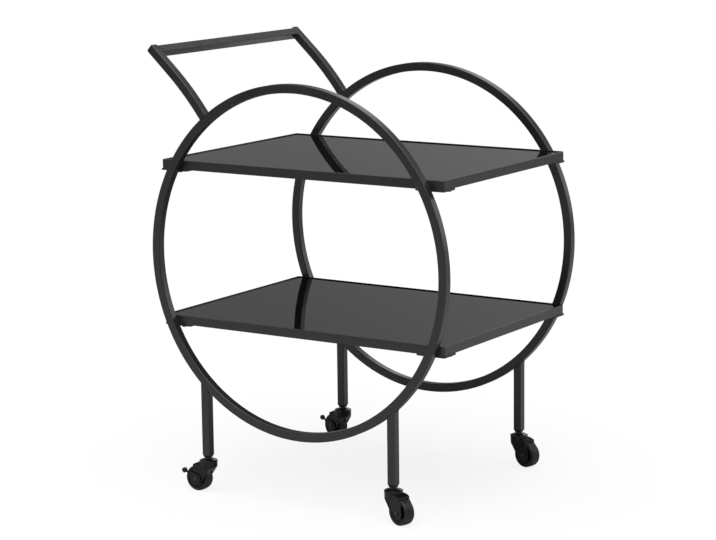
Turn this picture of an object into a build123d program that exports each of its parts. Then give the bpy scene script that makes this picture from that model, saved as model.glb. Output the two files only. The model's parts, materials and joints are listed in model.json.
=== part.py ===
"""Serving cart on casters: two ring side frames, two framed glass shelves and a push handle."""
from build123d import *
import math
import os

os.makedirs("parts", exist_ok=True)

# Sizes are in millimetres. The origin is on the floor under the middle of the rings.
# X runs along the cart with the handle at the -X end, -Y is the front and Z is up.

# Square steel tube
tube = 15.9
tube_wall = 1.2
tube_round = 1.5
tube_inside = tube - 2 * tube_wall

# Ring side frames
ring_width = 627.0
ring_height = 639.5
ring_middle_z = 442.0

# Legs and the plugs in their feet
leg_spread = 201.0
leg_shift = -1.6
leg_end_z = 64.5
foot_head = 5.5
foot_head_narrows = 2.6
foot_plug_length = 24.0

# Handle: its arms lean out, bend gently and end square on the rings
handle_tip_x = -308.7
handle_tip_z = 814.8
handle_lean = 47.4
handle_straight = 62.0
handle_bend = 540.0
handle_bend_sweep = 20.0
bar_from_tip = 11.5
tip_head = 2.4
tip_plug_length = 14.0

# Shelves
shelf_length = 598.0
shelf_depth = 435.0
shelf_corner = 5.0
rail_height = 16.8
rail_width = 12.0
rail_lip = 2.5
rail_lip_round = 1.5
window_corner = 1.0
upper_shelf_top = 610.5
lower_shelf_top = 323.4
glass_thickness = 4.0
glass_below_lip = 1.8
glass_play = 0.4
pad_thickness = 0.8
pad_width = 8.0
pads_along = 3

# The rings stand against the shelves
ring_y = (shelf_depth + tube) / 2

# Welded tabs that carry the shelves, and their screws
tab_length = 58.0
tab_depth = 39.5
tab_thickness = 3.0
tab_past_shelf = 1.5
tab_corner = 3.0
screw_size = 5.0
screw_from_tab_end = 20.0
screw_from_tab_side = 10.0
screw_head_width = 9.0
screw_head_height = 2.4
screw_in_rail = 8.0

# Caster wheel and axle
wheel_radius = 24.0
wheel_width = 20.0
wheel_shoulder = 2.5
tyre_inside_radius = 18.5
hub_rim = 2.5
hub_recess = 1.6
trail = 20.5
axle_radius = 3.0
axle_head_radius = 3.8
axle_head_height = 1.3
axle_head_round = 0.9
running_fit = 0.05
body_gap = 0.3

# Caster fork
fork_half_width = 13.1
fork_inside = wheel_width / 2 + 2 * body_gap
fork_top_z = 55.9
crown_radius = 16.4
crown_skirt_z = 47.8
crown_flare = 8.0
hood_end = 26.5
hood_end_z = 51.0
hood_round = 4.0
hood_end_round = 1.2
hood_clearance = 0.9
cheek_front = 12.0
cheek_rear = 32.0
cheek_rear_z = 40.0
cheek_knee_round = 3.0
cheek_end_radius = 13.0
cheek_recess = 0.8
cheek_border = 2.2
cheek_boss_radius = 5.4

# Caster stem and cap
stem_radius = 4.0
stem_low_z = 47.6
stem_high_z = 92.0
stem_end_chamfer = 0.6
hex_across = 10.0
hex_low_z = 62.4
cap_radius = 16.75
cap_low_z = 56.2
cap_rim_height = 3.0
cap_dome_radius = 12.0
cap_dome_z = 61.2
clip_groove_radius = 3.2
clip_radius = 5.2
clip_z = 48.7
clip_thickness = 0.9
clip_recess_radius = 6.0

# Brake lever
lever_arm = 1.6
lever_eye_radius = 10.5
lever_angle = 34.0
lever_arm_length = 15.5
lever_arm_end_radius = 4.0
lever_neck = 2.4
lever_neck_out = 3.0
lever_knob_reach = 26.3
lever_knob_radius = 4.9
lever_knob_width = 6.5
lever_knob_round = 1.8

# Where each caster stands, which way its wheel trails and whether it has a brake
left_legs_x = leg_shift - leg_spread
right_legs_x = leg_shift + leg_spread
casters = {
    "front_left": dict(x=left_legs_x, y=-ring_y, swivel=182.0, brake=True),
    "front_right": dict(x=right_legs_x, y=-ring_y, swivel=-16.0, brake=False),
    "rear_left": dict(x=left_legs_x, y=ring_y, swivel=167.0, brake=True),
    "rear_right": dict(x=right_legs_x, y=ring_y, swivel=-12.0, brake=False),
}


def write(name, shape):
    export_step(shape, f"parts/{name}.step")


def upright(sketch):
    """Turn a flat drawing so that its second direction points up."""
    return Plane.XZ * sketch


def tube_section():
    return RectangleRounded(tube, tube, tube_round)


def hollow_section():
    return tube_section() - RectangleRounded(tube_inside, tube_inside, tube_round / 2)


# Rings
def ring_outline():
    return Ellipse(ring_width / 2, ring_height / 2)


def ring(y):
    hole = Ellipse(ring_width / 2 - tube, ring_height / 2 - tube)
    band = extrude(upright(ring_outline() - hole), tube / 2, both=True)
    return Pos(0, y, ring_middle_z) * fillet(band.edges(), tube_round)


def ring_filled(y):
    """Everything inside a ring's outer edge, to cope the tubes that are welded on it."""
    return Pos(0, y, ring_middle_z) * extrude(upright(ring_outline()), tube, both=True)


# Legs
def leg(x, y):
    length = ring_middle_z - leg_end_z - foot_head
    post = Pos(x, y, leg_end_z + foot_head) * extrude(hollow_section(), length)
    return post - ring_filled(y)


def foot_insert(x, y):
    """Plastic plug with a tapered head, pressed into the leg to take the caster's stem."""
    small = tube - 2 * foot_head_narrows
    head = loft([Rectangle(small, small), Pos(0, 0, foot_head) * tube_section()])
    shank = RectangleRounded(tube_inside, tube_inside, tube_round / 2)
    plug = Pos(0, 0, foot_head) * extrude(shank, foot_plug_length)
    bore = Cylinder(stem_radius, foot_head + foot_plug_length, align=(Align.CENTER, Align.CENTER, Align.MIN))
    return Pos(x, y, leg_end_z) * (head + plug - bore)


# Handle
lean = math.radians(handle_lean)
arm_direction = Vector(math.sin(lean), -math.cos(lean))
arm_side = Vector(math.cos(lean), math.sin(lean))
arm_tip = Vector(handle_tip_x, handle_tip_z)
bend_start = arm_tip + arm_direction * handle_straight
bend_centre = bend_start - arm_side * handle_bend


def arm_ribbon(width, shortened=0.0):
    """Side view of the arm's tube: a straight run and a wide arc that touches it."""
    half = width / 2
    start = arm_tip + arm_direction * shortened
    arcs = {}
    for side in (-1, 1):
        arcs[side] = CenterArc(bend_centre, handle_bend + side * half, handle_lean, -handle_bend_sweep)
    edges = [
        Line(start - arm_side * half, start + arm_side * half),
        Line(start + arm_side * half, arcs[1] @ 0),
        arcs[1],
        Line(arcs[1] @ 1, arcs[-1] @ 1),
        arcs[-1],
        Line(arcs[-1] @ 0, start - arm_side * half),
    ]
    return upright(make_face(edges))


def handle_arm(y):
    outside = extrude(arm_ribbon(tube, tip_head), tube / 2, both=True)
    inside = extrude(arm_ribbon(tube_inside, tip_head), tube_inside / 2, both=True)
    long_edges = outside.edges().filter_by(lambda edge: edge.length > handle_straight / 2)
    arm = Pos(0, y, 0) * (fillet(long_edges, tube_round) - inside)
    return arm - ring_filled(y)


def along_arm(distance, y):
    """Place whose Z runs down the arm from its tip, and whose Y is the cart's Y."""
    spot = arm_tip + arm_direction * distance
    down = (arm_direction.X, 0, arm_direction.Y)
    return Plane((spot.X, y, spot.Y), x_dir=(arm_side.X, 0, arm_side.Y), z_dir=down).location


def handle_tip_plug(y):
    crown = tube - 2 * tube_round
    head = loft([RectangleRounded(crown, crown, tube_round / 2), Pos(0, 0, tip_head) * tube_section()])
    shank = RectangleRounded(tube_inside, tube_inside, tube_round / 2)
    plug = Pos(0, 0, tip_head) * extrude(shank, tip_plug_length)
    return along_arm(0, y) * (head + plug)


def handle_bar():
    length = 2 * ring_y - tube
    bar = Rot(90, 0, 0) * extrude(hollow_section(), length / 2, both=True)
    return along_arm(bar_from_tip, 0) * bar


# Shelves
def flat_slab(length, depth, corner, low_z, height):
    return Pos(0, 0, low_z) * extrude(RectangleRounded(length, depth, corner), height)


ledge_below_top = glass_below_lip + glass_thickness + pad_thickness
ledge_width = rail_width - rail_lip


def screw_spots(side_x, side_y):
    """Two screws per tab: one up into the long rail, one up into the end rail."""
    inset = rail_width / 2
    end = shelf_length / 2
    front = shelf_depth / 2
    return [
        (side_x * (end - tab_length + screw_from_tab_end), side_y * (front - inset)),
        (side_x * (end - inset), side_y * (front - tab_depth + screw_from_tab_side)),
    ]


def corners():
    for row, side_y in (("front", -1), ("rear", 1)):
        for column, side_x in (("left", -1), ("right", 1)):
            yield f"{row}_{column}", side_x, side_y


def upright_hole(spot, low_z, radius, height):
    align = (Align.CENTER, Align.CENTER, Align.MIN)
    return Pos(spot[0], spot[1], low_z) * Cylinder(radius, height, align=align)


def shelf_frame(top):
    """Stepped rail: a thin lip round the glass and a ledge behind it, with rounded corners."""
    low = top - rail_height
    outer = flat_slab(shelf_length, shelf_depth, shelf_corner, low, rail_height)
    ledge_z = top - ledge_below_top
    inner_round = shelf_corner - rail_lip
    pocket = flat_slab(shelf_length - 2 * rail_lip, shelf_depth - 2 * rail_lip, inner_round,
                       ledge_z, ledge_below_top)
    window = flat_slab(shelf_length - 2 * rail_width, shelf_depth - 2 * rail_width, window_corner,
                       low, rail_height)
    lip_edges = outer.edges().filter_by(Plane.XY).group_by(Axis.Z)[-1]
    frame = fillet(lip_edges, rail_lip_round) - pocket - window
    for _, side_x, side_y in corners():
        for spot in screw_spots(side_x, side_y):
            frame -= upright_hole(spot, low, screw_size / 2, screw_in_rail)
    return frame


def shelf_glass(top):
    length = shelf_length - 2 * rail_lip - 2 * glass_play
    depth = shelf_depth - 2 * rail_lip - 2 * glass_play
    low = top - glass_below_lip - glass_thickness
    return flat_slab(length, depth, shelf_corner - rail_lip, low, glass_thickness)


def glass_pads(top):
    """Small soft pads on the ledge that the glass lies on."""
    low = top - ledge_below_top
    x_line = shelf_length / 2 - rail_lip - ledge_width / 2
    y_line = shelf_depth / 2 - rail_lip - ledge_width / 2
    spacing = 2 * x_line / (pads_along + 1)
    spots = [(x_line, 0), (-x_line, 0)]
    for step in range(pads_along):
        x = spacing * (step - (pads_along - 1) / 2)
        spots += [(x, y_line), (x, -y_line)]
    pads = [upright_hole(spot, low, pad_width / 2, pad_thickness) for spot in spots]
    return Compound(children=pads)


def shelf_tab(top, side_x, side_y):
    """Plate under a shelf corner, welded to the inner face of the ring's tube."""
    low = top - rail_height - tab_thickness
    x = side_x * (shelf_length / 2 + tab_past_shelf - tab_length / 2)
    y = side_y * (shelf_depth / 2 - tab_depth / 2)
    plate = Pos(x, y, low) * extrude(RectangleRounded(tab_length, tab_depth, tab_corner), tab_thickness)
    for spot in screw_spots(side_x, side_y):
        plate -= upright_hole(spot, low, screw_size / 2, tab_thickness)
    return plate


def shelf_screws(top):
    """Pan-head screws that go up through the tabs into the rails."""
    seat = top - rail_height - tab_thickness
    head = Pos(0, 0, -screw_head_height) * extrude(Circle(screw_head_width / 2), screw_head_height)
    head = fillet(head.edges().group_by(Axis.Z)[0], screw_head_height / 2)
    shank = extrude(Circle(screw_size / 2), tab_thickness + screw_in_rail)
    screw = head + shank
    screws = []
    for _, side_x, side_y in corners():
        for spot in screw_spots(side_x, side_y):
            screws.append(Pos(spot[0], spot[1], seat) * screw)
    return Compound(children=screws)


# Caster pieces are drawn about the swivel axis, with the wheel trailing along +X
def caster_place(name):
    spot = casters[name]
    return Pos(spot["x"], spot["y"], 0) * Rot(0, 0, spot["swivel"])


wheel_centre = Pos(trail, 0, wheel_radius)


def turned(points):
    """Solid of revolution about the axle, from (across, radius) points."""
    face = make_face(Polyline(*points, close=True))
    return wheel_centre * (Rot(0, 0, 90) * revolve(face, Axis.X))


def about_axle(radius, half_width):
    return wheel_centre * (Rot(90, 0, 0) * Cylinder(radius, 2 * half_width))


def fork_outline():
    """Side view of the fork: crown, hood over the wheel and a broad cheek down to the axle."""
    reach = Vector(trail + cheek_front, wheel_radius - crown_skirt_z)
    slope = math.atan2(reach.Y, reach.X) - math.asin(cheek_end_radius / reach.length)
    touch_angle = math.degrees(slope) - 90
    end = CenterArc((trail, wheel_radius), cheek_end_radius, 0, touch_angle)
    points = [
        end @ 1,
        (-cheek_front, crown_skirt_z),
        (-crown_radius, crown_skirt_z),
        (-crown_radius, fork_top_z),
        (crown_radius, fork_top_z),
        (hood_end, hood_end_z),
        (hood_end, 2 * hood_end_z - fork_top_z),
        (cheek_rear, cheek_rear_z),
        end @ 0,
    ]
    face = make_face([end, Polyline(*points)])
    knee = face.vertices().sort_by_distance((cheek_rear, cheek_rear_z))[0]
    return fillet(knee, cheek_knee_round)


def fork_front():
    """Front view of the hood, with its upper corners rounded."""
    body = Pos(0, fork_top_z / 2) * Rectangle(2 * fork_half_width, fork_top_z)
    return fillet(body.vertices().group_by(Axis.Y)[-1], hood_round)


def fork_plan():
    """Plan of the fork: round just inside the crown, straight along the wheel."""
    length = trail + cheek_end_radius
    return Circle(crown_radius - body_gap) + Pos(length / 2, 0) * Rectangle(length, 2 * crown_radius)


def fork():
    outline = fork_outline()
    hood_corner = outline.vertices().sort_by_distance((hood_end, hood_end_z))[0]
    side = extrude(upright(fillet(hood_corner, hood_end_round)), crown_radius, both=True)
    front = extrude(Plane.YZ * fork_front(), 4 * crown_radius, both=True)
    body = side & front & extrude(fork_plan(), fork_top_z)
    skirt = crown_skirt_z - crown_flare
    body += Pos(0, 0, crown_skirt_z) * extrude(Circle(crown_radius), fork_top_z - crown_skirt_z)
    body += loft([Pos(0, 0, skirt) * Circle(crown_radius / 2), Pos(0, 0, crown_skirt_z) * Circle(crown_radius)])
    below_crown = Pos(trail, 0, crown_skirt_z / 2) * Box(4 * crown_radius, 4 * crown_radius, crown_skirt_z)
    recess = upright(offset(outline, -cheek_border))
    boss = Rot(90, 0, 0) * Cylinder(cheek_boss_radius, fork_half_width - fork_inside)
    for side_y in (-1, 1):
        depth = Pos(0, side_y * (fork_half_width - cheek_recess / 2), 0)
        body -= (depth * extrude(recess, cheek_recess / 2, both=True)) & below_crown
        body += wheel_centre * (Pos(0, side_y * (fork_half_width + fork_inside) / 2, 0) * boss)
    body -= about_axle(wheel_radius + hood_clearance, fork_inside)
    body -= about_axle(axle_radius, fork_half_width)
    body -= extrude(Circle(stem_radius + running_fit), fork_top_z)
    recess_top = clip_z + clip_thickness + body_gap
    return body - extrude(Circle(clip_recess_radius), recess_top)


def wheel_hub():
    """Moulded hub: bore and bosses, a web with a shallow recess and a rim for the tyre."""
    boss = 2 * axle_radius
    boss_end = wheel_width / 2 + body_gap
    rim = (wheel_width - wheel_shoulder) / 2
    rim_inside = tyre_inside_radius - hub_rim
    web = rim - hub_recess
    right = [
        (boss_end, axle_radius + running_fit),
        (boss_end, boss),
        (web, boss + hub_recess),
        (web, rim_inside - hub_recess),
        (rim, rim_inside),
        (rim, tyre_inside_radius),
    ]
    left = [(-across, radius) for across, radius in reversed(right)]
    return turned(right + left)


def tyre():
    middle = (wheel_radius + tyre_inside_radius) / 2
    section = Pos(0, middle) * Rectangle(wheel_width, wheel_radius - tyre_inside_radius)
    section = fillet(section.vertices().group_by(Axis.Y)[-1], wheel_shoulder)
    section = chamfer(section.vertices().group_by(Axis.Y)[0], wheel_shoulder / 2)
    return wheel_centre * (Rot(0, 0, 90) * revolve(section, Axis.X))


lever_low = fork_half_width + body_gap
lever_high = lever_low + lever_arm


def axle(brake):
    """Steel pin with a low domed head on each side; on braked casters one end carries the lever."""
    head = extrude(Circle(axle_head_radius), axle_head_height)
    head = fillet(head.edges().group_by(Axis.Z)[-1], axle_head_round)
    plain_end = -fork_half_width
    lever_end = lever_high + body_gap if brake else fork_half_width
    pin = Pos(0, 0, plain_end) * extrude(Circle(axle_radius), lever_end - plain_end)
    pin += Pos(0, 0, lever_end) * head
    pin += Pos(0, 0, plain_end) * (Rot(180, 0, 0) * head)
    return wheel_centre * (Rot(-90, 0, 0) * pin)


def stem():
    """Swivel pin: thread for the leg's insert, wrench hexagon and a journal with a clip groove."""
    shank = Pos(0, 0, stem_low_z) * extrude(Circle(stem_radius), stem_high_z - stem_low_z)
    shank = chamfer(shank.edges(), stem_end_chamfer)
    hexagon = RegularPolygon(hex_across / 2, 6, major_radius=False)
    nut = Pos(0, 0, hex_low_z) * extrude(hexagon, leg_end_z - hex_low_z)
    groove = Circle(2 * stem_radius) - Circle(clip_groove_radius)
    return shank + nut - Pos(0, 0, clip_z) * extrude(groove, clip_thickness)


def stem_clip():
    ring_face = Circle(clip_radius) - Circle(clip_groove_radius)
    slot = Pos(clip_radius, 0) * Rectangle(2 * clip_radius, clip_groove_radius)
    return Pos(0, 0, clip_z) * extrude(ring_face - slot, clip_thickness)


def cap():
    """Round domed cap between the stem's hexagon and the fork's crown."""
    rim = (cap_radius, cap_low_z + cap_rim_height)
    top = (hex_across / 2, hex_low_z)
    outline = [
        Line((stem_radius, cap_low_z), (cap_radius, cap_low_z)),
        Line((cap_radius, cap_low_z), rim),
        ThreePointArc(rim, (cap_dome_radius, cap_dome_z), top),
        Line(top, (stem_radius, hex_low_z)),
        Line((stem_radius, hex_low_z), (stem_radius, cap_low_z)),
    ]
    return revolve(upright(make_face(outline)), Axis.Z)


def brake_lever():
    """Side lever: a plate that turns on the axle outside the cheek, with a round foot knob."""
    arm_end = Pos(lever_arm_length, 0) * Circle(lever_arm_end_radius)
    hole = Circle(axle_radius + running_fit)
    arm_face = make_hull([Circle(lever_eye_radius).edge(), arm_end.edge()]) - hole
    neck_start = lever_arm_length + lever_arm_end_radius / 2
    neck = Pos((neck_start + lever_knob_reach) / 2, 0) * Rectangle(lever_knob_reach - neck_start, lever_neck)
    knob = extrude(Circle(lever_knob_radius), lever_knob_width)
    knob = Pos(lever_knob_reach, 0, 0) * fillet(knob.edges(), lever_knob_round)
    lever = extrude(arm_face, lever_arm) + extrude(neck, lever_neck_out) + knob
    outwards = Pos(0, lever_low, 0) * Rot(-90, 0, 0) * Rot(0, 0, -lever_angle)
    return wheel_centre * (outwards * lever)


# Write the pieces
for row, y in (("front", -ring_y), ("rear", ring_y)):
    write(f"{row}_ring", ring(y))
    write(f"{row}_handle_arm", handle_arm(y))
    write(f"{row}_handle_plug", handle_tip_plug(y))
write("handle_bar", handle_bar())

for level, top in (("upper", upper_shelf_top), ("lower", lower_shelf_top)):
    write(f"{level}_shelf_frame", shelf_frame(top))
    write(f"{level}_shelf_glass", shelf_glass(top))
    write(f"{level}_glass_pads", glass_pads(top))
    write(f"{level}_shelf_screws", shelf_screws(top))
    for corner, side_x, side_y in corners():
        write(f"{level}_{corner}_tab", shelf_tab(top, side_x, side_y))

for name, spot in casters.items():
    place = caster_place(name)
    write(f"{name}_leg", leg(spot["x"], spot["y"]))
    write(f"{name}_foot_insert", foot_insert(spot["x"], spot["y"]))
    write(f"{name}_stem", place * stem())
    write(f"{name}_cap", place * cap())
    write(f"{name}_fork", place * fork())
    write(f"{name}_hub", place * wheel_hub())
    write(f"{name}_tyre", place * tyre())
    write(f"{name}_axle", place * axle(spot["brake"]))
    if spot["brake"]:
        write(f"{name}_brake_lever", place * brake_lever())
write("stem_clips", Compound(children=[caster_place(name) * stem_clip() for name in casters]))
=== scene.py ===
# %% [markdown]
# # A serving cart on casters, finished in Blender
# The cart's rigid parts come ready made, in metres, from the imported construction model. This script
# gives them their finish: satin powder coat, black polished glass, moulded plastic, rubber and dark zinc.
# It also models what the eye looks for up close: weld beads in the corners of the tubes, glass with a
# ground edge, screw heads with sockets, and tyres with a mould line.

# %% Load the construction model
import json
import math

import bmesh
import bpy
from mathutils import Matrix, Vector


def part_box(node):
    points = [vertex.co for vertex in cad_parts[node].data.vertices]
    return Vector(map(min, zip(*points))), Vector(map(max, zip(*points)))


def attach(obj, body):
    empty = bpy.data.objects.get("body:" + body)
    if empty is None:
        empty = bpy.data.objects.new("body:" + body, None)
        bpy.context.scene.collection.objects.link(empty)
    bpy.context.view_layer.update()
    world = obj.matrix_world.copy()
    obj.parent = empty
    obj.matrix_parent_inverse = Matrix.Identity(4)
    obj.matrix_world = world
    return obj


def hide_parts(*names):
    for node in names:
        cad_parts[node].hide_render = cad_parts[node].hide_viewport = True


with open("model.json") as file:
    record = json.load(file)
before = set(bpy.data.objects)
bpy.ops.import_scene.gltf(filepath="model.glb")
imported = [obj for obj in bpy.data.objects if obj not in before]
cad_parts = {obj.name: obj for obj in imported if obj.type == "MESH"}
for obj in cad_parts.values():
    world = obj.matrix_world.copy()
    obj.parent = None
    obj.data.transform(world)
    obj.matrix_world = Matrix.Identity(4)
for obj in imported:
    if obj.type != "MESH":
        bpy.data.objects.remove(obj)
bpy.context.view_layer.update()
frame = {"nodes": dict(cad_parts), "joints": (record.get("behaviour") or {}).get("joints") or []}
scene = bpy.context.scene
MM = 0.001

# %% [markdown]
# The camera stands about four metres from the cart, a little higher than the handle, and looks at it
# from the front right. A long lens keeps the two rings nearly the same size. Yaw, pitch and roll are
# turned into the camera's own axes, so the aim doesn't depend on a target object.

# %% Camera
CAMERA_PLACE = Vector((2.31726, -3.58407, 1.17668))
CAMERA_YAW = 0.57706
CAMERA_PITCH = 0.18076
CAMERA_ROLL = 0.01239
CAMERA_LENS = 118.0
SENSOR_WIDTH = 36.0


def camera_turn(yaw, pitch, roll):
    """Rotation of a camera that looks along +Y before it is turned."""
    level_reach = math.cos(pitch)
    forward = Vector((-math.sin(yaw) * level_reach, math.cos(yaw) * level_reach, -math.sin(pitch)))
    level = Vector((math.cos(yaw), math.sin(yaw), 0))
    up = level.cross(forward)
    right = math.cos(roll) * level - math.sin(roll) * up
    up = math.sin(roll) * level + math.cos(roll) * up
    return Matrix((right, up, -forward)).transposed()


camera_data = bpy.data.cameras.new("camera")
camera_data.lens = CAMERA_LENS
camera_data.sensor_width = SENSOR_WIDTH
camera = bpy.data.objects.new("camera", camera_data)
aim = camera_turn(CAMERA_YAW, CAMERA_PITCH, CAMERA_ROLL).to_4x4()
camera.matrix_world = Matrix.Translation(CAMERA_PLACE) @ aim
scene.collection.objects.link(camera)
scene.camera = camera
print("camera looks along", [round(-v, 3) for v in camera.matrix_world.col[2][:3]])

# %% [markdown]
# A cart this dark is drawn by what it mirrors, so the studio is built as light from the directions that
# matter. The ceiling and the high lamps shade the tops, dim walls behind the cart are what the glass
# mirrors, a window low on the right draws the outer rims of the tubes, and a small panel above the wall
# draws the thin light line along the shelves' lips. Each is a soft-edged cap on the sky sphere, and the
# world shader adds them up. The camera itself sees plain white. Colours go straight to the picture, with
# no film curve.

# %% Room light
scene.view_settings.view_transform = "Standard"
scene.view_settings.look = "None"

AHEAD = CAMERA_YAW
ROOM_LIGHTS = [
    # name, turn from the camera's view, height above the horizon, half width, brightness
    ("ceiling", 0, 90, 45, 0.95),
    ("lamp over the camera", 180, 68, 40, 2.56),
    ("lamp on the left", 90, 68, 40, 1.72),
    ("high front", 180, 45, 45, 1.51),
    ("high right", -90, 45, 45, 0.80),
    ("wall behind", 0, 0, 60, 0.20),
    ("wall behind, right part", -25, 11, 30, 0.14),
    ("wall on the left", 60, 0, 60, 0.38),
    ("window on the right", -66, 11, 18, 1.75),
    ("panel above the wall", -16, 30, 15, 1.80),
]


def link(tree, source, target):
    """Join two sockets, each given as (node, socket name or number)."""
    tree.links.new(source[0].outputs[source[1]], target[0].inputs[target[1]])


def sky_direction(turn, height):
    """Unit vector: turn in degrees to the left of the camera's view, height above the horizon."""
    around, up = AHEAD + math.radians(turn), math.radians(height)
    return Vector((-math.sin(around) * math.cos(up), math.cos(around) * math.cos(up), math.sin(up)))


def soft_cap(tree, view, towards, half_width, brightness):
    """Light from a round part of the sky, full in its middle and fading to nothing at its edge."""
    along = tree.nodes.new("ShaderNodeVectorMath")
    along.operation = "DOT_PRODUCT"
    along.inputs[1].default_value = towards
    link(tree, (view, "Generated"), (along, 0))
    fade = tree.nodes.new("ShaderNodeMapRange")
    fade.interpolation_type = "SMOOTHSTEP"
    fade.inputs["From Min"].default_value = math.cos(math.radians(half_width))
    fade.inputs["From Max"].default_value = 1.0
    fade.inputs["To Min"].default_value = 0.0
    fade.inputs["To Max"].default_value = brightness
    link(tree, (along, "Value"), (fade, "Value"))
    return fade


def room_world():
    """World that lights the cart with the sum of the room's lights and shows the camera plain white."""
    world = bpy.data.worlds.new("room")
    world.use_nodes = True
    tree = world.node_tree
    tree.nodes.clear()
    view = tree.nodes.new("ShaderNodeTexCoord")
    total = None
    for name, turn, height, half_width, brightness in ROOM_LIGHTS:
        cap = soft_cap(tree, view, sky_direction(turn, height), half_width, brightness)
        cap.label = name
        if total:
            both = tree.nodes.new("ShaderNodeMath")
            link(tree, (total, 0), (both, 0))
            link(tree, (cap, 0), (both, 1))
            total = both
        else:
            total = cap
    room = tree.nodes.new("ShaderNodeBackground")
    room.inputs["Color"].default_value = (1, 1, 1, 1)
    link(tree, (total, 0), (room, "Strength"))
    white = tree.nodes.new("ShaderNodeBackground")
    white.inputs["Color"].default_value = (1, 1, 1, 1)
    ray = tree.nodes.new("ShaderNodeLightPath")
    choice = tree.nodes.new("ShaderNodeMixShader")
    output = tree.nodes.new("ShaderNodeOutputWorld")
    link(tree, (ray, "Is Camera Ray"), (choice, 0))
    link(tree, (room, 0), (choice, 1))
    link(tree, (white, 0), (choice, 2))
    link(tree, (choice, 0), (output, 0))
    return world


scene.world = room_world()
print("room lights", [light[0] for light in ROOM_LIGHTS])

# %% [markdown]
# The floor is a pale disc that fades out at its rim, so no horizon line crosses the picture. The camera
# sees mostly white, mixed with a small share of a really shaded surface that carries a soft trace of the
# cart's shadow. For the light that bounces up to the cart, the floor is a duller grey. It is stage, not
# part of the cart.

# %% Floor
FLOOR_RADIUS = 6.0
FLOOR_FADE = 2.0
FLOOR_STEPS = 96
FLOOR_BOUNCE = 0.42
FLOOR_PALE = 0.66
SHADOW_SHARE = 0.15


def floor_material():
    """Pale to the camera, duller for bounced light, and fading to nothing at the rim."""
    material = bpy.data.materials.new("pale_floor")
    material.use_nodes = True
    tree = material.node_tree
    tree.nodes.clear()
    bounce = tree.nodes.new("ShaderNodeBsdfDiffuse")
    bounce.inputs["Color"].default_value = (FLOOR_BOUNCE, FLOOR_BOUNCE, FLOOR_BOUNCE, 1)
    shaded = tree.nodes.new("ShaderNodeBsdfDiffuse")
    shaded.inputs["Color"].default_value = (FLOOR_PALE, FLOOR_PALE, FLOOR_PALE, 1)
    white = tree.nodes.new("ShaderNodeEmission")
    white.inputs["Color"].default_value = (1, 1, 1, 1)
    seen = tree.nodes.new("ShaderNodeMixShader")
    seen.inputs[0].default_value = 1 - SHADOW_SHARE
    link(tree, (shaded, 0), (seen, 1))
    link(tree, (white, 0), (seen, 2))
    ray = tree.nodes.new("ShaderNodeLightPath")
    choice = tree.nodes.new("ShaderNodeMixShader")
    link(tree, (ray, "Is Camera Ray"), (choice, 0))
    link(tree, (bounce, 0), (choice, 1))
    link(tree, (seen, 0), (choice, 2))
    place = tree.nodes.new("ShaderNodeTexCoord")
    reach = tree.nodes.new("ShaderNodeVectorMath")
    reach.operation = "LENGTH"
    fade = tree.nodes.new("ShaderNodeMapRange")
    fade.interpolation_type = "SMOOTHSTEP"
    fade.inputs["From Min"].default_value = FLOOR_RADIUS - FLOOR_FADE
    fade.inputs["From Max"].default_value = FLOOR_RADIUS
    link(tree, (place, "Object"), (reach, 0))
    link(tree, (reach, "Value"), (fade, "Value"))
    nothing = tree.nodes.new("ShaderNodeBsdfTransparent")
    rim = tree.nodes.new("ShaderNodeMixShader")
    output = tree.nodes.new("ShaderNodeOutputMaterial")
    link(tree, (fade, 0), (rim, 0))
    link(tree, (choice, 0), (rim, 1))
    link(tree, (nothing, 0), (rim, 2))
    link(tree, (rim, 0), (output, 0))
    return material


floor_shape = bmesh.new()
bmesh.ops.create_circle(floor_shape, cap_ends=True, segments=FLOOR_STEPS, radius=FLOOR_RADIUS)
floor_mesh = bpy.data.meshes.new("floor")
floor_shape.to_mesh(floor_mesh)
floor_shape.free()
floor_mesh.materials.append(floor_material())
floor = bpy.data.objects.new("floor", floor_mesh)
scene.collection.objects.link(floor)
print("floor radius", FLOOR_RADIUS)

# %% [markdown]
# Each finish is a shader with a little unevenness of its own. A helper holds what they share: a
# Principled shader whose colour and roughness drift with a soft cloud, and a fine bump. The patterns read
# Object coordinates, and every object sits at the origin, so one grain runs through the whole cart.

# %% Helper for the finishes
CLOUD_LOW = 0.3
CLOUD_HIGH = 0.7
CLOUD_DETAIL = 3.0
GRAIN_DETAIL = 2.0


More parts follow.
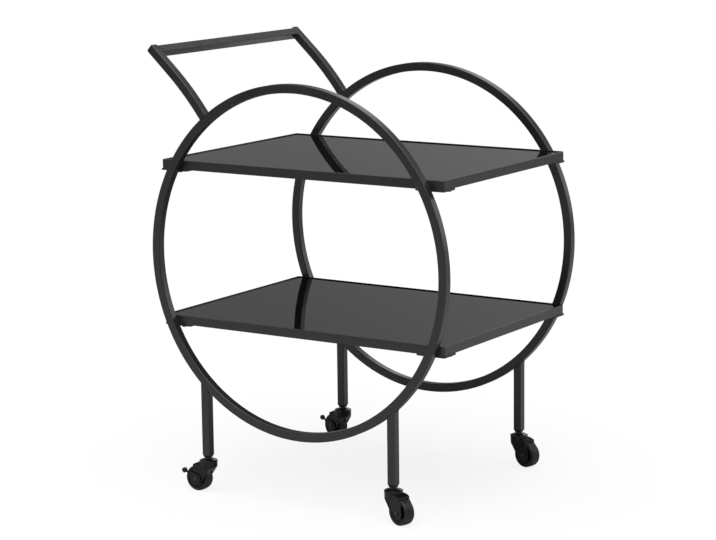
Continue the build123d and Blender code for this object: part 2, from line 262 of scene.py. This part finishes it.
def finish(name, colour, second_colour, roughness, drift, drift_size, bump_size, bump_depth, metallic=0.0,
           **sockets):
    """Principled material with two colours, a roughness that drifts by +-drift, and a fine bump.

    Colour and roughness change over drift_size. The bumps are bump_size wide and bump_depth deep.
    """
    material = bpy.data.materials.new(name)
    material.use_nodes = True
    tree = material.node_tree
    shader = tree.nodes["Principled BSDF"]
    shader.inputs["Metallic"].default_value = metallic
    for socket, value in sockets.items():
        shader.inputs[socket.replace("_", " ")].default_value = value
    place = tree.nodes.new("ShaderNodeTexCoord")
    cloud = tree.nodes.new("ShaderNodeTexNoise")
    cloud.inputs["Scale"].default_value = 1 / drift_size
    cloud.inputs["Detail"].default_value = CLOUD_DETAIL
    link(tree, (place, "Object"), (cloud, "Vector"))
    ramp = tree.nodes.new("ShaderNodeMapRange")
    ramp.inputs["From Min"].default_value = CLOUD_LOW
    ramp.inputs["From Max"].default_value = CLOUD_HIGH
    ramp.inputs["To Min"].default_value = roughness - drift
    ramp.inputs["To Max"].default_value = roughness + drift
    link(tree, (cloud, 0), (ramp, "Value"))
    link(tree, (ramp, 0), (shader, "Roughness"))
    shades = tree.nodes.new("ShaderNodeValToRGB")
    shades.color_ramp.elements[0].position = CLOUD_LOW
    shades.color_ramp.elements[0].color = (*colour, 1)
    shades.color_ramp.elements[1].position = CLOUD_HIGH
    shades.color_ramp.elements[1].color = (*second_colour, 1)
    link(tree, (cloud, 0), (shades, 0))
    link(tree, (shades, 0), (shader, "Base Color"))
    grain = tree.nodes.new("ShaderNodeTexNoise")
    grain.inputs["Scale"].default_value = 1 / bump_size
    grain.inputs["Detail"].default_value = GRAIN_DETAIL
    bump = tree.nodes.new("ShaderNodeBump")
    bump.inputs["Distance"].default_value = bump_depth
    link(tree, (place, "Object"), (grain, "Vector"))
    link(tree, (grain, 0), (bump, "Height"))
    link(tree, (bump, 0), (shader, "Normal"))
    print("finish", name, "roughness", roughness)
    return material


# %% [markdown]
# The tubes and rails have a black powder coat: satin, with a faint orange-peel grain. The shelves are
# black glass, so dark that only what it mirrors shows. The casters are hard glossy plastic on rubber
# tyres, and the axles, stems and screws are zinc with a black finish. Each call gives two near shades,
# the roughness and its drift, the size of the drift, and the size and depth of the bump.

# %% Finishes
powder_coat = finish(
    "satin_powder_coat", colour=(0.0132, 0.0132, 0.0141), second_colour=(0.0176, 0.0176, 0.0188),
    roughness=0.31, drift=0.04, drift_size=30 * MM, bump_size=0.9 * MM, bump_depth=0.04 * MM)
glass_black = finish(
    "polished_black_glass", colour=(0.0004, 0.0004, 0.0003), second_colour=(0.0008, 0.0008, 0.0007),
    roughness=0.014, drift=0.008, drift_size=60 * MM, bump_size=40 * MM, bump_depth=0.002 * MM)
plug_plastic = finish(
    "plug_plastic", colour=(0.010, 0.010, 0.010), second_colour=(0.014, 0.014, 0.014),
    roughness=0.50, drift=0.05, drift_size=8 * MM, bump_size=0.5 * MM, bump_depth=0.03 * MM)
caster_plastic = finish(
    "caster_plastic", colour=(0.0035, 0.0035, 0.0035), second_colour=(0.0055, 0.0055, 0.0055),
    roughness=0.16, drift=0.05, drift_size=12 * MM, bump_size=0.6 * MM, bump_depth=0.02 * MM,
    Specular_IOR_Level=0.33)
tread_rubber = finish(
    "tread_rubber", colour=(0.007, 0.007, 0.007), second_colour=(0.010, 0.010, 0.010),
    roughness=0.38, drift=0.07, drift_size=6 * MM, bump_size=0.4 * MM, bump_depth=0.03 * MM,
    Specular_IOR_Level=0.36)
black_zinc = finish(
    "black_zinc", colour=(0.055, 0.055, 0.058), second_colour=(0.080, 0.080, 0.083),
    roughness=0.34, drift=0.08, drift_size=4 * MM, bump_size=0.4 * MM, bump_depth=0.02 * MM,
    metallic=1.0)
clear_pad = finish(
    "clear_pad", colour=(0.72, 0.73, 0.74), second_colour=(0.78, 0.79, 0.80),
    roughness=0.22, drift=0.04, drift_size=3 * MM, bump_size=0.6 * MM, bump_depth=0.02 * MM,
    Transmission_Weight=0.8)

NODE_FINISH = {
    "powder_coat": powder_coat,
    "black_glass": glass_black,
    "black_plastic": plug_plastic,
    "caster_plastic": caster_plastic,
    "tread": tread_rubber,
    "black_zinc": black_zinc,
    "clear_pad": clear_pad,
}
for node in frame["nodes"].values():
    slot_name = node.data.materials[0].name
    node.material_slots[0].material = NODE_FINISH[slot_name]
print("nodes finished", len(frame["nodes"]))

# %% [markdown]
# New pieces all end the same way: the shape's doubles are merged, its faces turned outwards, its edges
# shaded by their angle, and the piece is hung on the body that carries it. One helper does that.

# %% Helper for new pieces
SHARP_ANGLE = math.radians(32)
MERGE_DISTANCE = 0.002 * MM


def add_piece(name, shape, slot, body, nodes=()):
    """Make a piece of a bmesh, in the slot's finish, on a body, in place of some construction nodes."""
    bmesh.ops.remove_doubles(shape, verts=shape.verts, dist=MERGE_DISTANCE)
    bmesh.ops.recalc_face_normals(shape, faces=shape.faces)
    mesh = bpy.data.meshes.new(name)
    shape.to_mesh(mesh)
    shape.free()
    mesh.shade_smooth()
    mesh.set_sharp_from_angle(angle=SHARP_ANGLE)
    mesh.materials.append(NODE_FINISH[slot])
    piece = bpy.data.objects.new(name, mesh)
    scene.collection.objects.link(piece)
    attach(piece, body)
    if nodes:
        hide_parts(*nodes)
    print(name, "faces", len(mesh.polygons))
    return piece


# %% [markdown]
# Each glass is a plain slab with rounded corners. What makes it read as glass is its ground edge: a
# narrow slanted band all round, top and bottom, which takes a thin line of light. A unit cube is scaled
# to the slab, its upright edges are rounded, and then the two outlines are cut back by the grinding.

# %% Glass
GLASS_CORNER = 2.5 * MM
GLASS_CORNER_STEPS = 6
GLASS_GROUND = 0.6 * MM


def bevel(shape, edges, offset, steps):
    """Round edges in several steps, or slant them in one."""
    bmesh.ops.bevel(shape, geom=edges, offset=offset, affect="EDGES", segments=steps, profile=0.5,
                    material=-1)


def rises(edge):
    """Height between the two ends of an edge."""
    return abs(edge.verts[0].co.z - edge.verts[1].co.z)


def glass_slab(low, high):
    """Slab between two corners, with round upright edges and a ground rim."""
    shape = bmesh.new()
    bmesh.ops.create_cube(shape, size=1.0)
    bmesh.ops.scale(shape, vec=high - low, verts=shape.verts)
    bmesh.ops.translate(shape, vec=(low + high) / 2, verts=shape.verts)
    upright = [edge for edge in shape.edges if rises(edge) > MERGE_DISTANCE]
    bevel(shape, upright, GLASS_CORNER, GLASS_CORNER_STEPS)
    rims = [edge for edge in shape.edges if rises(edge) < MERGE_DISTANCE]
    bevel(shape, rims, GLASS_GROUND, 1)
    return shape


for level in ("upper", "lower"):
    node_name = f"{level}_shelf_glass"
    slab = glass_slab(*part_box(node_name))
    add_piece(f"{level}_ground_glass", slab, "black_glass", "cart_frame", [node_name])

# %% [markdown]
# Round things are turned, as on a lathe. A profile starts as one vertex that is extruded from point to
# point, each a pair of radius and height. It is spun about Z, and the turned shape is then moved to its
# place. The same helper makes weld beads, tyres and screws.

# %% Helper for turned shapes
def turn_profile(shape, profile, steps, place):
    """Spin (radius, height) points about Z, move the result by a matrix and return its vertices."""
    before = set(shape.verts)
    vert = shape.verts.new((profile[0][0], 0, profile[0][1]))
    chain = [vert]
    for radius, height in profile[1:]:
        pulled = bmesh.ops.extrude_vert_indiv(shape, verts=[vert])
        vert = pulled["verts"][0]
        vert.co = (radius, 0, height)
        chain.append(vert)
    edges = {edge for vert in chain for edge in vert.link_edges}
    bmesh.ops.spin(shape, geom=chain + list(edges), cent=(0, 0, 0), axis=(0, 0, 1), angle=2 * math.pi,
                   steps=steps, use_merge=True)
    turned = [vert for vert in shape.verts if vert not in before]
    bmesh.ops.transform(shape, matrix=place, verts=turned)
    return turned


def standing_at(point, direction):
    """Matrix that puts the origin at a point with Z along a direction."""
    return Matrix.Translation(point) @ direction.to_track_quat("Z", "Y").to_matrix().to_4x4()


# %% [markdown]
# The tubes are welded where they meet, and a painted weld still shows as a soft ridge in the corner. The
# faces that lie flush are ground smooth, so beads are only in the corners: at both sides of each leg and
# arm on its ring, at the ends of the handle bar, and where each tab meets its ring. A bead is a turned rod
# whose radius swells and shrinks a little, puddle by puddle, and closes at both ends.

# %% Weld beads
BEAD_RADIUS = 1.9 * MM
BEAD_PUDDLE = 1.5 * MM
BEAD_RIPPLE = 0.07
BEAD_POINTS_PER_PUDDLE = 4
BEAD_END_POWER = 6
BEAD_STEPS = 10
TUBE_CORNER = 1.5 * MM
CONTACT_DISTANCE = 0.1 * MM


def weld_bead(shape, start, end):
    """A rippled rod with closed, rounded ends."""
    length = (end - start).length
    puddles = max(3, round(length / BEAD_PUDDLE))
    points = puddles * BEAD_POINTS_PER_PUDDLE
    profile = []
    for step in range(points + 1):
        along = step / points
        from_middle = abs(2 * along - 1)
        body = math.sqrt(max(0.0, 1 - from_middle ** BEAD_END_POWER))
        ripple = 1 + BEAD_RIPPLE * math.cos(2 * math.pi * puddles * along)
        profile.append((BEAD_RADIUS * body * ripple, length * along))
    turn_profile(shape, profile, BEAD_STEPS, standing_at(start, end - start))


ring_low, ring_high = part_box("front_ring")
RING_HALF_WIDTH = (ring_high.x - ring_low.x) / 2
RING_HALF_HEIGHT = (ring_high.z - ring_low.z) / 2
RING_MIDDLE = (ring_high.z + ring_low.z) / 2
TUBE = ring_high.y - ring_low.y


def corners_on_ring(name):
    """The two ends of the line on which a leg or arm meets its ring, seen from the side."""
    contact = []
    for vert in frame["nodes"][name].data.vertices:
        x, z = vert.co.x, vert.co.z - RING_MIDDLE
        off_ring = math.hypot(x / RING_HALF_WIDTH, z / RING_HALF_HEIGHT) - 1
        if abs(off_ring) * RING_HALF_WIDTH < CONTACT_DISTANCE:
            contact.append((math.atan2(z, x), vert.co.x, vert.co.z))
    return min(contact)[1:], max(contact)[1:]


def across_tube(x, y, z):
    """A stretch along Y, as wide as the flat of a tube that is centred on y."""
    half = Vector((0, TUBE / 2 - TUBE_CORNER, 0))
    return Vector((x, y, z)) - half, Vector((x, y, z)) + half


beads = bmesh.new()
bead_count = 0
for row in ("front", "rear"):
    row_low, row_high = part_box(f"{row}_ring")
    row_y = (row_low.y + row_high.y) / 2
    for name in (f"{row}_left_leg", f"{row}_right_leg", f"{row}_handle_arm"):
        for x, z in corners_on_ring(name):
            weld_bead(beads, *across_tube(x, row_y, z))
            bead_count += 1
print("beads on the rings", bead_count)

# %% Weld beads at the handle bar and the tabs
HANDLE_LEAN = math.radians(47.4)
bar_low, bar_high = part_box("handle_bar")
bar_middle = (bar_low + bar_high) / 2
bar_down = Vector((math.sin(HANDLE_LEAN), 0, -math.cos(HANDLE_LEAN)))
bar_side = Vector((math.cos(HANDLE_LEAN), 0, math.sin(HANDLE_LEAN)))
for bar_y in (bar_low.y, bar_high.y):
    for sign in (-1, 1):
        corner = Vector((bar_middle.x, bar_y, bar_middle.z)) + sign * bar_down * TUBE / 2
        half = bar_side * (TUBE / 2 - TUBE_CORNER)
        weld_bead(beads, corner - half, corner + half)
        bead_count += 1


def ring_reach(z, inside):
    """Half width of the ring's outline at a height; inside is how far within the outer face."""
    height_share = (z - RING_MIDDLE) / (RING_HALF_HEIGHT - inside)
    return (RING_HALF_WIDTH - inside) * math.sqrt(1 - height_share ** 2)


for level in ("upper", "lower"):
    for row, sign_y in (("front", -1), ("rear", 1)):
        for column, sign_x in (("left", -1), ("right", 1)):
            tab_low, tab_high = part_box(f"{level}_{row}_{column}_tab")
            face_y = sign_y * max(abs(tab_low.y), abs(tab_high.y))
            near, far = ring_reach(tab_low.z, TUBE), ring_reach(tab_low.z, 0)
            start = Vector((sign_x * (near + TUBE_CORNER), face_y, tab_low.z))
            end = Vector((sign_x * (far - TUBE_CORNER), face_y, tab_low.z))
            weld_bead(beads, start, end)
            bead_count += 1
add_piece("weld_beads", beads, "powder_coat", "cart_frame")
print("weld beads", bead_count)

# %% [markdown]
# Each tyre is a hard rubber band pressed on its hub. The tread is slightly crowned, the shoulders are
# round, a thin mould line runs round its middle, and each side has a shallow groove near the hub. It is
# turned from one closed profile about the wheel's own axle, which the roll joint gives.

# %% Tyres
TYRE_WIDTH = 20 * MM
TYRE_INSIDE = 18.5 * MM
TYRE_INSIDE_CORNER = 0.3 * MM
TYRE_SHOULDER = 2.5 * MM
SHOULDER_STEPS = 6
TYRE_CROWN = 0.25 * MM
CROWN_SHARES = (0.66, 0.33)
MOULD_LINE = 0.15 * MM
MOULD_LINE_HALF = 0.35 * MM
GROOVE_RADIUS = 20.2 * MM
GROOVE_HALF = 0.5 * MM
GROOVE_DEPTH = 0.4 * MM
TYRE_STEPS = 96


def tyre_profile(radius):
    """Half of the closed outline from the inside out to the mould line, then the same mirrored."""
    half = TYRE_WIDTH / 2
    tread = radius - MOULD_LINE
    side = [
        (TYRE_INSIDE, 0),
        (TYRE_INSIDE, half - TYRE_INSIDE_CORNER),
        (TYRE_INSIDE + TYRE_INSIDE_CORNER, half),
        (GROOVE_RADIUS - GROOVE_HALF, half),
        (GROOVE_RADIUS - GROOVE_HALF / 2, half - GROOVE_DEPTH),
        (GROOVE_RADIUS + GROOVE_HALF / 2, half - GROOVE_DEPTH),
        (GROOVE_RADIUS + GROOVE_HALF, half),
    ]
    edge = tread - TYRE_CROWN
    for step in range(SHOULDER_STEPS + 1):
        turn = math.radians(90 * step / SHOULDER_STEPS)
        inwards = TYRE_SHOULDER * (1 - math.sin(turn))
        down = TYRE_SHOULDER * (1 - math.cos(turn))
        side.append((edge - inwards, half - down))
    for share in CROWN_SHARES:
        height = (half - TYRE_SHOULDER) * share
        side.append((tread - TYRE_CROWN * share ** 2, height))
    side += [(tread, MOULD_LINE_HALF), (radius, MOULD_LINE_HALF / 2)]
    mirrored = [(r, -h) for r, h in reversed(side)]
    return side + mirrored


for joint in frame["joints"]:
    if joint["name"].endswith("_roll"):
        caster = joint["name"].removesuffix("_roll")
        centre = Vector(joint["pos_m"])
        axle = standing_at(centre, Vector(joint["axis"]))
        tyre = bmesh.new()
        turn_profile(tyre, tyre_profile(centre.z), TYRE_STEPS, axle)
        add_piece(f"{caster}_rubber_tyre", tyre, "tread", joint["child"], [f"{caster}_tyre"])

# %% [markdown]
# The shelves hang on pan-head screws driven up through the tabs. From below each shows a low round head
# with a six-sided socket. The head is turned with a round recess, and the recess is then drawn out to six
# sides by moving its points away from the axis, more in the corners than at the flats.

# %% Screws
SCREW_HEAD_RADIUS = 4.5 * MM
SCREW_HEAD_HEIGHT = 2.4 * MM
SCREW_SHANK_RADIUS = 2.5 * MM
SOCKET_RADIUS = 1.5 * MM
SOCKET_DEPTH = 1.5 * MM
SOCKET_SIDE_TURN = math.radians(60)
SCREW_DOME_STEPS = 4
SCREW_STEPS = 24


def screw_places(name):
    """Middle and height range of each separate solid in a node that groups several."""
    shape = bmesh.new()
    shape.from_mesh(frame["nodes"][name].data)
    bmesh.ops.remove_doubles(shape, verts=shape.verts, dist=MERGE_DISTANCE)
    waiting = set(shape.verts)
    places = []
    while waiting:
        island, front = [], [waiting.pop()]
        while front:
            vert = front.pop()
            island.append(vert.co.copy())
            for edge in vert.link_edges:
                other = edge.other_vert(vert)
                if other in waiting:
                    waiting.remove(other)
                    front.append(other)
        xs, ys, zs = zip(*island)
        places.append(((min(xs) + max(xs)) / 2, (min(ys) + max(ys)) / 2, min(zs), max(zs)))
    shape.free()
    return sorted(places)


def socket_screw(shape, x, y, low, high):
    """Screw with its head down: socket floor, socket wall, domed head, seat and shank."""
    profile = [(0, SOCKET_DEPTH), (SOCKET_RADIUS, SOCKET_DEPTH), (SOCKET_RADIUS, 0)]
    dome = SCREW_HEAD_HEIGHT / 2
    for step in range(SCREW_DOME_STEPS + 1):
        turn = math.radians(90 * step / SCREW_DOME_STEPS)
        radius = SCREW_HEAD_RADIUS - dome * (1 - math.sin(turn))
        profile.append((radius, dome * (1 - math.cos(turn))))
    profile += [(SCREW_HEAD_RADIUS, SCREW_HEAD_HEIGHT), (SCREW_SHANK_RADIUS, SCREW_HEAD_HEIGHT),
                (SCREW_SHANK_RADIUS, high - low), (0, high - low)]
    turned = turn_profile(shape, profile, SCREW_STEPS, Matrix.Identity(4))
    for vert in turned:
        radius = math.hypot(vert.co.x, vert.co.y)
        if 0 < radius < SOCKET_RADIUS + MERGE_DISTANCE and vert.co.z < SCREW_HEAD_HEIGHT:
            off_flat = math.atan2(vert.co.y, vert.co.x) % SOCKET_SIDE_TURN - SOCKET_SIDE_TURN / 2
            vert.co.xy *= 1 / math.cos(off_flat)
    bmesh.ops.translate(shape, vec=(x, y, low), verts=turned)


for level in ("upper", "lower"):
    screws = bmesh.new()
    for place in screw_places(f"{level}_shelf_screws"):
        socket_screw(screws, *place)
    add_piece(f"{level}_socket_screws", screws, "black_zinc", "cart_frame", [f"{level}_shelf_screws"])
